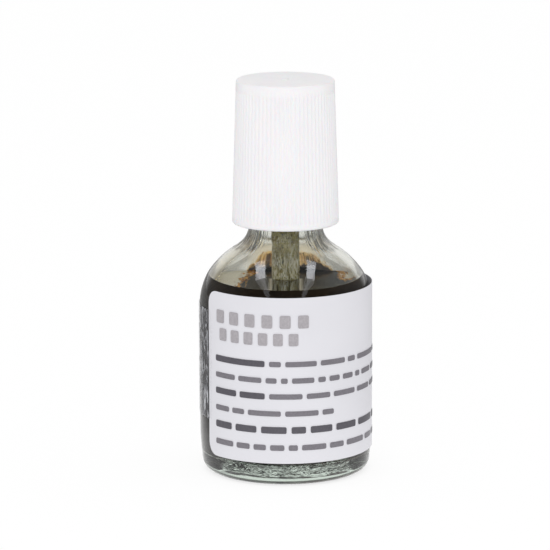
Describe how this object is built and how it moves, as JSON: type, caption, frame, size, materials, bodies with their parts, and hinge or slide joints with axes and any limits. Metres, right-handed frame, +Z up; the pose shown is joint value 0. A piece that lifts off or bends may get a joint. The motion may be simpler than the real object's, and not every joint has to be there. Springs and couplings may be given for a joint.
{
  "type": "brush-cap lubricant bottle",
  "caption": "Small round glass bottle of liquid graphite for locks, with a wrap label and a tall ribbed white screw cap that carries a brush.",
  "frame": {"origin": "middle of the ring that the bottle stands on, on the bottle's axis", "axes": "+Z up the bottle's axis, -Y out of the front of the label, +X to the right of someone who faces the label"},
  "size_m": [0.0283, 0.0282, 0.064],
  "materials": {
    "glass": "clear moulded soda-lime glass, faintly green where thick",
    "graphite_liquid": "opaque brown-black liquid with a wet surface",
    "label_paper": "smooth coated white paper, slightly cool",
    "clear_film": "clear adhesive film with ripples",
    "cap_plastic": "satin white moulded polypropylene",
    "stem_plastic": "translucent natural polyethylene stained by graphite",
    "bristle_nylon": "nylon bristles wet with graphite",
    "anchor_brass": "drawn wire",
    "wad_foam": "soft polyethylene foam"
  },
  "bodies": {
    "bottle": {"glass_bottle": "glass", "graphite_fill": "graphite_liquid", "wrap_label": "label_paper", "clear_tape": "clear_film"},
    "seal": {"sealing_wad": "wad_foam"},
    "brush_cap": {"cap_shell": "cap_plastic", "brush_stem": "stem_plastic", "bristle_tuft": "bristle_nylon", "tuft_anchor": "anchor_brass"}
  },
  "joints": [
    {"name": "cap_lift", "type": "slide", "parent": "bottle", "child": "seal", "axis": [0, 0, 1], "range_m": [0, 0.05]},
    {"name": "cap_turn", "type": "hinge", "parent": "seal", "child": "brush_cap", "pos_m": [0, 0, 0.0519], "axis": [0, 0, 1], "range_deg": [0, 720]}
  ]
}
